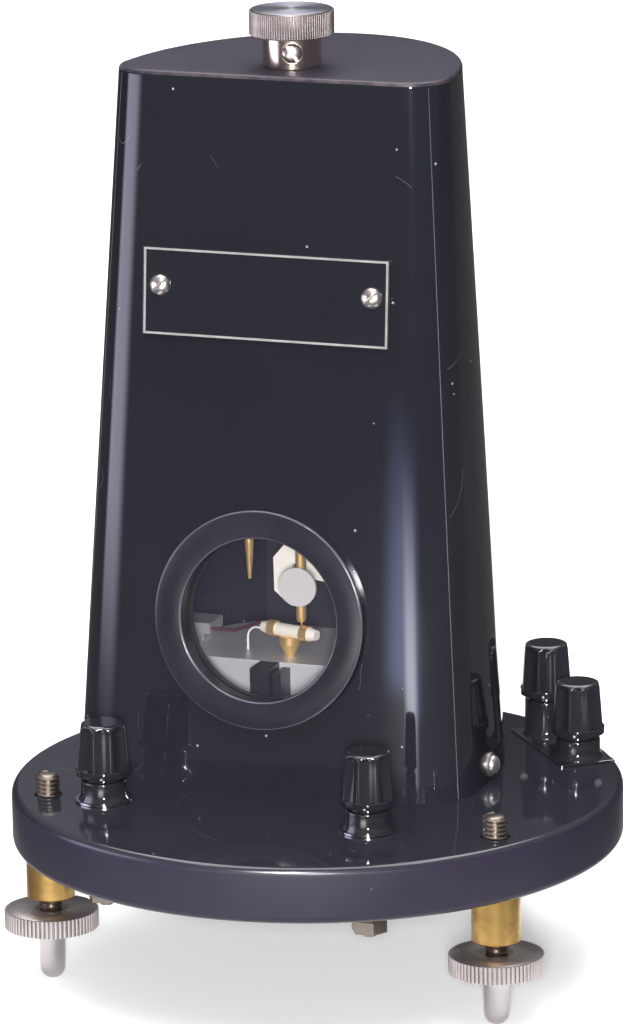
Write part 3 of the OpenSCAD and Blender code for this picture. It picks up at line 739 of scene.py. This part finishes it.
def makeCaseScrews():
    c = caseScrew
    w, mid, deep = (blendOf(tower[k], c["up"] / tower["height"]) for k in ("half", "backY", "backD"))
    t = math.asin((c["y"] - mid) / deep)
    out = math.atan((math.sin(t) / deep) / (math.cos(t) / w))
    h, r, wide, ease = c["washerThick"], c["radius"], c["washerRadius"], c["washerEase"]
    washer = [(c["washerBore"], 0), (wide, 0), (wide, h - ease), (wide - ease, h), (c["washerBore"], h)]
    screw = [(0, -c["shankLong"]), (c["shank"], -c["shankLong"]), (c["shank"], h), (r, h)]
    screw += domeOf(r, h + c["domeFrom"], c["proud"] - c["domeFrom"])
    made = []
    for side, turn in ((1, out), (-1, math.pi - out)):
        place = Matrix.Translation((tower["x"] + side * w * math.cos(t), c["y"], baseTop + c["up"]))
        place = place @ Matrix.Rotation(turn, 4, "Z") @ Matrix.Rotation(math.pi / 2, 4, "Y")
        place = place @ Matrix.Translation((0, 0, -c["sink"]))
        made.append(turned("washer", washer, 48, place, True))
        slot = slotBar(c["slotWide"], h + c["proud"] - c["slotDeep"], h + c["slotOver"])
        made.append(shifted(cutBy(turned("caseScrew", screw, 48), [slot]), place))
    addPiece("caseScrews", joined("caseScrews", made), "footSteel", "base", ["case_screws"], 35)


makeCaseScrews()
print("window, plate and screws made")

# torsion head on the roof
knob = dict(radius=13.75, core=13.35, thick=8.6, ridges=100, ridgeRadius=0.34, ridgeGap=1.0,
            faceUp=0.9, faceDeep=0.1)
neck = dict(radius=9.65, bore=4.05, spigot=6, deep=11, tall=10)
lock = dict(turn=-69.2, up=5.6, radius=3.2, shank=1.6, long=5.5, seat=0.4, domeFrom=0.3, rise=1.4,
            holeRadius=3.5, holeDeep=0.5, holeOver=5, slotWide=0.9, slotFrom=0.8, slotOver=6, slotTurn=35)


def makeTorsionHead():
    at = middleOf("torsion_knob")
    low = lowOf("torsion_knob")
    r, h = knob["core"], knob["thick"]
    profile = [(0, 0), (r - 0.3, 0), (r, 0.4), (r, h - 0.4), (r - 0.15, h - 0.12), (r - 0.5, h),
               (r - 1.2, h), (0, h)]
    body = turned("torsionKnob", profile, 144, Matrix.Translation((at.x, at.y, low)))
    sizes = {"Radius": knob["radius"] - knob["ridgeRadius"], "Height": h - knob["ridgeGap"],
             "Ridges": knob["ridges"], "Depth": knob["ridgeRadius"], "Finish": finishes["knobNickel"]}
    ridges = runTree("knobRidges", ridgeRing, sizes, Matrix.Translation((at.x, at.y, low + h / 2)))
    face = (low + h - knob["faceDeep"]) * unit
    addPiece("torsionKnob", joined("torsionKnob", [body, ridges]), "knobNickel", "torsion_head",
             ["torsion_knob"], 40, ("knobFace",),
             lambda f: int(f.normal.z > knob["faceUp"] and f.center.z > face))
    n, bore, spigot, deep, tall = (neck[k] for k in ("radius", "bore", "spigot", "deep", "tall"))
    profile = [(bore, -deep), (spigot, -deep), (spigot, 0), (n - 0.2, 0), (n, 0.3), (n, tall - 0.4),
               (n - 0.4, tall), (bore, tall)]
    sleeve = turned("torsionNeck", profile, 96, Matrix.Translation((at.x, at.y, roofTop)), True)
    turn = Matrix.Translation((at.x, at.y, roofTop + lock["up"]))
    turn = turn @ Matrix.Rotation(math.radians(lock["turn"]), 4, "Z") @ Matrix.Rotation(math.pi / 2, 4, "Y")
    hole = plug("lockTool", lock["holeRadius"], n - lock["holeDeep"], n + lock["holeOver"], 40, turn)
    addPiece("torsionNeck", cutBy(sleeve, [hole]), "neckNickel", "base", ["torsion_collar"], 30)
    end, seat = n - lock["long"], n - lock["seat"]
    screw = [(0, end), (lock["shank"], end), (lock["shank"], seat), (lock["radius"], seat)]
    screw += domeOf(lock["radius"], n + lock["domeFrom"], lock["rise"])
    slot = slotBar(lock["slotWide"], n + lock["slotFrom"], n + lock["slotOver"])
    tilt = turn @ Matrix.Rotation(math.radians(lock["slotTurn"]), 4, "Z")
    addPiece("lockScrew", shifted(cutBy(turned("lockScrew", screw, 40), [slot]), tilt), "chromeScrew", "lock",
             ["lock_screw"], 35)


makeTorsionHead()
print("torsion head made")

# levelling feet
wheel = dict(radius=15.4, core=14.65, thick=6.4, bore=5.5, ridges=64, ridgeRadius=0.68, ridgeGap=0.6)
stud = dict(radius=3.97, core=3.25, pitch=1.411, threadDepth=0.6, threadFrom=0.3, threadShort=0.75,
            neck=2.55, neckFrom=5, gap=0.05)
tip = dict(radius=4.5, tall=17.1, ballRadius=4.1, ballFrom=-61.4, ballSink=0.5, spigot=2.5, spigotTall=4.9)
bush = dict(radius=7.9, bore=4.02, shank=6, short=4)


def makeWheel(name, here, low):
    r, h = wheel["core"], wheel["thick"]
    profile = [(wheel["bore"], 0), (r - 0.5, 0), (r, 0.4), (r, h - 0.4), (r - 0.5, h), (wheel["bore"], h)]
    rim = turned("wheel", profile, 128, here @ Matrix.Translation((0, 0, low)), True)
    sizes = {"Radius": wheel["radius"] - wheel["ridgeRadius"], "Height": h - wheel["ridgeGap"],
             "Ridges": wheel["ridges"], "Depth": wheel["ridgeRadius"], "Finish": finishes["footSteel"]}
    ridges = runTree("wheelRidges", ridgeRing, sizes, here @ Matrix.Translation((0, 0, low + h / 2)))
    addPiece("thumbwheel_" + name, joined("thumbwheel", [rim, ridges]), "footSteel", f"foot_{name}_screw",
             ["thumbwheel_" + name], 40)


def makeStud(name, here, low):
    s, core = stud, stud["core"]
    top, neckLow = topOf("levelling_screw_" + name), low + s["neckFrom"]
    onTip, onWheel = tip["tall"] + s["gap"], low + wheel["thick"]
    profile = [(0, neckLow), (s["neck"], neckLow), (s["neck"], onTip), (wheel["bore"], onTip),
               (wheel["bore"], onWheel), (core, onWheel + 0.01), (core, top - 0.6), (core - 0.5, top - 0.15),
               (core - 0.9, top), (0, top)]
    shaft = turned("shaft", profile, 64, here)
    sizes = {"Radius": s["radius"] - s["threadDepth"], "Pitch": s["pitch"], "Depth": s["threadDepth"],
             "Turns": (top - s["threadShort"] - onWheel) / s["pitch"], "Finish": finishes["studBrass"]}
    place = here @ Matrix.Translation((0, 0, onWheel + s["threadFrom"]))
    thread = runTree("thread", threadCoil, sizes, place)
    addPiece("levellingScrew_" + name, joined("levellingScrew", [shaft, thread]), "studBrass",
             f"foot_{name}_screw", ["levelling_screw_" + name], 40)


def makeTip(name, here):
    r, e, tall, spigot = tip["radius"], tip["ballRadius"], tip["tall"], tip["spigot"]
    profile = [(0, 0)]
    for a in (tip["ballFrom"], -50, -40, -30, -20, -10, 0):
        t = math.radians(a)
        profile.append((e * math.cos(t), e - tip["ballSink"] + e * math.sin(t)))
    profile += [(r, tall - 0.3), (r - 0.3, tall), (spigot, tall), (spigot, tall + tip["spigotTall"]),
                (0, tall + tip["spigotTall"])]
    addPiece("footTip_" + name, turned("footTip", profile, 64, here), "tipSteel", f"foot_{name}_tip",
             ["foot_tip_" + name], 30)


def makeFeet():
    low, under, high = lowOf("foot_bushes"), baseTop - baseDisc["thick"], baseTop - bush["short"]
    r, bore, shank = bush["radius"], bush["bore"], bush["shank"]
    profile = [(bore, low), (r - 0.4, low), (r, low + 0.4), (r, under), (shank, under), (shank, high),
               (bore, high)]
    bushes = []
    for name in footNames:
        at = middleOf("levelling_screw_" + name)
        here = Matrix.Translation((at.x, at.y, 0))
        wheelLow = lowOf("thumbwheel_" + name)
        makeWheel(name, here, wheelLow)
        makeStud(name, here, wheelLow)
        makeTip(name, here)
        bushes.append(turned("bush", profile, 80, here, True))
    addPiece("footBushes", joined("footBushes", bushes), "agedBrass", "base", ["foot_bushes"], 30)


makeFeet()
print("feet made")

# binding posts: flutes are cylinders that run out in an arch on the rounded shoulder
cap = dict(radius=8.8, topRadius=7.7, tall=17.6, skirt=2.4, step=0.2, roll=2.2, bore=3.55, roofThick=3.55,
           bodySteps=6)
flute = dict(count=8, radius=5.0, deep=1.3, turn=-69.0, archFrom=15.4, archSteep=1.5, ease=0.7, leastRadius=6)
collar = dict(radius=7.3, bore=2, flare=0.9, roll=0.9, rollDeep=2.1, rollSteps=8, tip=1.3, tipTall=1.15,
              gap=0.1)
capTaper = (cap["radius"] - cap["step"] - cap["topRadius"]) / (cap["tall"] - cap["roll"] - cap["skirt"])


def fluted(t, r, z):
    if z <= cap["skirt"] or r < flute["leastRadius"]:
        return r
    period = 2 * math.pi / flute["count"]
    d = ((t - math.radians(flute["turn"])) / period + 0.5) % 1.0 * period - period / 2
    away = cap["radius"] - flute["deep"] + flute["radius"] - (z - cap["skirt"]) * capTaper
    arch = max(0.0, z - flute["archFrom"]) * flute["archSteep"]
    reach = flute["radius"] ** 2 - arch ** 2 - (away * math.sin(d)) ** 2
    if reach <= 0:
        return r
    dip = away * math.cos(d) - math.sqrt(reach)
    near = max(0.0, 1 - abs(r - dip) / flute["ease"])  # a smooth minimum rounds the flute's edges
    return min(r, dip) - near * near * flute["ease"] / 4


def capProfile():
    r, top, h, skirt, roll = (cap[k] for k in ("radius", "topRadius", "tall", "skirt", "roll"))
    inside, body, steps = h - cap["roofThick"], r - cap["step"], cap["bodySteps"]
    points = [(0, inside), (cap["bore"], inside), (cap["bore"], 0), (r - 0.4, 0), (r - 0.1, 0.15), (r, 0.4),
              (r, skirt - 0.15), (r - 0.15, skirt), (body, skirt + 0.01)]
    levels = [k / steps * (h - roll - skirt) + skirt for k in range(1, steps)]
    points += [(body - (z - skirt) * capTaper, z) for z in levels]
    return points + arc(top - roll, h - roll, roll, 0, 90, 30) + [(top - roll - 0.3, h), (0, h)]


def collarProfile(tall):
    r, bore, roll, end = collar["radius"], collar["bore"], collar["roll"], collar["radius"] - collar["tip"]
    points = [(bore, 0), (r + collar["flare"], 0), (r + 0.75, 0.5), (r + 0.3, 1.2), (r, 1.9)]
    points += arc(r - roll, tall - collar["rollDeep"], roll, 0, 90, collar["rollSteps"])
    return points + [(end, tall - collar["tipTall"]), (end, tall), (bore, tall)]


def makePosts():
    profile = capProfile()
    floor = topOf("terminal_washers")
    collars = []
    for k in range(1, 5):
        at = middleOf(f"terminal_cap_{k}")
        low = lowOf(f"terminal_cap_{k}")
        mesh = turned("cap", profile, 320, Matrix.Translation((at.x, at.y, low)), False, fluted)
        addPiece(f"terminalCap_{k}", mesh, "postMoulding", f"post_{k}_cap", [f"terminal_cap_{k}"],
                 32)
        here = Matrix.Translation((at.x, at.y, floor))
        collars.append(turned("collar", collarProfile(low - collar["gap"] - floor), 96, here, True))
    addPiece("terminalCollars", joined("terminalCollars", collars), "postMoulding", "base",
             ["terminal_collars"], 30)


makePosts()
print("binding posts made")

# plain nodes whose edges catch the light
easedCopy("terminal_washers", "terminalWashers", "washerDark", 0.35)
easedCopy("terminal_nuts", "terminalNuts", "studBrass", 0.3)
easedCopy("platform_block", "platformBlock", "platformSteel", 0.3)
easedCopy("name_plate", "namePlate", "plateEnamel", 0.2)
print("edges eased")

# paper, table and air
paper = dict(shade=0.9, lift=0.3, nearHalf=0.14, farHalf=0.3, near=0.14, far=2.6, turn=20.77)
table = dict(shade=0.07, half=6, low=-0.002)
air = dict(colour=(0.95, 0.96, 1.0, 1.0), horizon=0.05, zenith=0.55, rampFrom=0.25, rampTo=0.9)
white = (1.0, 1.0, 1.0)


def stageSheet(name, corners, shade, lift=0.0):
    mesh = bpy.data.meshes.new(name)
    mesh.from_pydata(corners, [], [[0, 1, 2, 3]])
    sheet = bpy.data.objects.new(name, mesh)
    bpy.context.scene.collection.objects.link(sheet)
    mat = bpy.data.materials.new(name)
    mat.use_nodes = True
    tree = mat.node_tree
    skin = tree.nodes["Principled BSDF"]
    skin.inputs["Base Color"].default_value = (shade, shade, shade, 1.0)
    skin.inputs["Roughness"].default_value = 0.9
    skin.inputs["Specular IOR Level"].default_value = 0.0
    if lift:
        path = addNode(tree, "ShaderNodeLightPath").outputs
        seen = addMath(tree, "MAXIMUM", path["Is Camera Ray"], path["Is Glossy Ray"])
        seen = addMath(tree, "MAXIMUM", seen, path["Is Transmission Ray"])
        tree.links.new(addMath(tree, "MULTIPLY", seen, lift), skin.inputs["Emission Strength"])
        skin.inputs["Emission Color"].default_value = (*white, 1.0)
    mesh.materials.append(mat)


def makeStudio():
    p, t = paper, table
    corners = ((-p["nearHalf"], -p["near"], 0), (p["nearHalf"], -p["near"], 0),
               (p["farHalf"], p["far"], 0), (-p["farHalf"], p["far"], 0))
    turn = Matrix.Rotation(math.radians(p["turn"]), 3, "Z")
    stageSheet("paper", [turn @ Vector(c) for c in corners], p["shade"], p["lift"])
    sides = ((-1, -1), (1, -1), (1, 1), (-1, 1))
    stageSheet("table", [(x * t["half"], y * t["half"], t["low"]) for x, y in sides], t["shade"])
    world = bpy.data.worlds.new("studioAir")
    bpy.context.scene.world = world
    world.use_nodes = True
    tree = world.node_tree
    coord = addNode(tree, "ShaderNodeTexCoord")
    parts = addNode(tree, "ShaderNodeSeparateXYZ", {"Vector": coord.outputs["Generated"]})
    ramp = addNode(tree, "ShaderNodeMapRange", {
        "Value": parts.outputs["Z"], "From Min": air["rampFrom"], "From Max": air["rampTo"],
        "To Min": air["horizon"], "To Max": air["zenith"]})
    sky = tree.nodes["Background"]
    sky.inputs["Color"].default_value = air["colour"]
    tree.links.new(ramp.outputs["Result"], sky.inputs["Strength"])


# soft is the share of the width or height over which each edge fades: low u, high u, low v, high v
lamps = [
    dict(name="flash", place=(0.665, -1.8, 0.56), aim=(-0.01, 0, 0.14), size=(0.16, 0.26), watts=52.0),
    dict(name="topWide", place=(-0.35, 0.9, 2.4), aim=(-0.25, 0.6, 0.0), size=(2.2, 2.6), watts=75.0),
    dict(name="topFront", place=(0.35, -0.95, 2.1), aim=(0.1, -0.3, 0.0), size=(1.4, 1.0), watts=26.0,
         gloss=False),
    dict(name="spot", place=(0.2, -1.27, 1.53), aim=(0, 0, 0.1), size=(0.2, 0.2), watts=9.0, diffuse=False),
    dict(name="leftCard", place=(-0.38, -0.2415, 0.155), aim=(-0.07, -0.013, 0.155), size=(0.42, 0.29),
         watts=1.3, tint=(1.0, 0.94, 1.22), diffuse=False, soft=(0.2, 0.42, 0.42, 0.05)),
    dict(name="rightCard", place=(0.01, -0.55, 0.06), aim=(0.01, 0, 0.06), size=(0.36, 0.18), watts=1.24,
         tint=(1.0, 1.0, 0.95), diffuse=False, soft=(0.4, 0.4, 0.5, 0.6)),
    dict(name="glowCard", place=(0.067, -0.56, 0.1045), aim=(0.067, 0, 0.1045), size=(0.466, 0.141),
         watts=0.5, tint=(0.55, 0.66, 1.25), diffuse=False, soft=(0.053, 0.5, 0.085, 0.72),
         only="towerShell"),
    dict(name="rimSpark", place=(0.132, -1.059, 0.769), aim=(0.024, -0.097, 0.06), size=(0.2, 0.2),
         watts=20.0, diffuse=False, only="baseDisc"),
    dict(name="backCard", place=(-0.8, 1.45, 0.5), aim=(0, 0, 0.1), size=(0.35, 0.5), watts=0.08,
         tint=(1.0, 0.94, 1.15), diffuse=False),
]


def softenEdges(data, soft):
    data.use_nodes = True
    tree = data.node_tree
    spot = addNode(tree, "ShaderNodeNewGeometry")
    across = addNode(tree, "ShaderNodeSeparateXYZ", {"Vector": spot.outputs["Parametric"]})
    lowU, highU, lowV, highV = soft
    strength = 1.0
    for axis, start, end in (("X", 0, lowU), ("X", 1, 1 - highU), ("Y", 0, lowV), ("Y", 1, 1 - highV)):
        edge = addNode(tree, "ShaderNodeMapRange", {
            "Value": across.outputs[axis], "From Min": start, "From Max": end},
            interpolation_type="SMOOTHSTEP")
        strength = addMath(tree, "MULTIPLY", strength, edge.outputs["Result"])
    tree.links.new(strength, tree.nodes["Emission"].inputs["Strength"])


def makeLamps():
    for each in lamps:
        data = bpy.data.lights.new(each["name"], "AREA")
        data.shape = "RECTANGLE"
        data.size, data.size_y = each["size"]
        data.energy = each["watts"]
        data.color = each.get("tint", white)
        if "soft" in each:
            softenEdges(data, each["soft"])
        lamp = bpy.data.objects.new(each["name"], data)
        bpy.context.scene.collection.objects.link(lamp)
        lamp.location = each["place"]
        lamp.visible_camera = False
        lamp.visible_diffuse = each.get("diffuse", True)  # some lamps are only there for the gloss
        lamp.visible_glossy = each.get("gloss", True)
        if "only" in each:
            lit = bpy.data.collections.new(each["name"])
            lit.objects.link(bpy.data.objects[each["only"]])
            lamp.light_linking.receiver_collection = lit
        lamp.rotation_mode = "QUATERNION"
        lamp.rotation_quaternion = (Vector(each["aim"]) - Vector(each["place"])).to_track_quat("-Z", "Y")


# the photo's camera in degrees and millimetres, its focal length and frame in pixels, its clip in metres
cameraSet = dict(azimuth=20.77, rise=14.16, away=2038.8, focal=6299.5, aimSide=-0.18, aimUp=89.51, roll=-0.92,
                 frameTall=1024.0, sensor=36.0, clip=(0.05, 50.0))


def makeCamera():
    c = cameraSet
    a, e, roll = (math.radians(c[k]) for k in ("azimuth", "rise", "roll"))
    back = Vector((math.sin(a) * math.cos(e), -math.cos(a) * math.cos(e), math.sin(e)))
    target = Vector((c["aimSide"] * math.cos(a), c["aimSide"] * math.sin(a), c["aimUp"] + baseTop))
    right = Vector((math.cos(a), math.sin(a), 0))
    up = back.cross(right)
    across = math.cos(roll) * right + math.sin(roll) * up
    above = -math.sin(roll) * right + math.cos(roll) * up
    data = bpy.data.cameras.new("photoCamera")
    data.sensor_width = c["sensor"]
    data.lens = c["focal"] / c["frameTall"] * c["sensor"]
    data.clip_start, data.clip_end = c["clip"]
    cam = bpy.data.objects.new("photoCamera", data)
    bpy.context.scene.collection.objects.link(cam)
    cam.matrix_world = Matrix((across, above, back)).transposed().to_4x4()
    cam.location = (target + back * c["away"]) * unit
    bpy.context.scene.camera = cam


makeStudio()
makeLamps()
makeCamera()
bpy.context.scene.view_settings.view_transform = "Standard"
print("studio set")
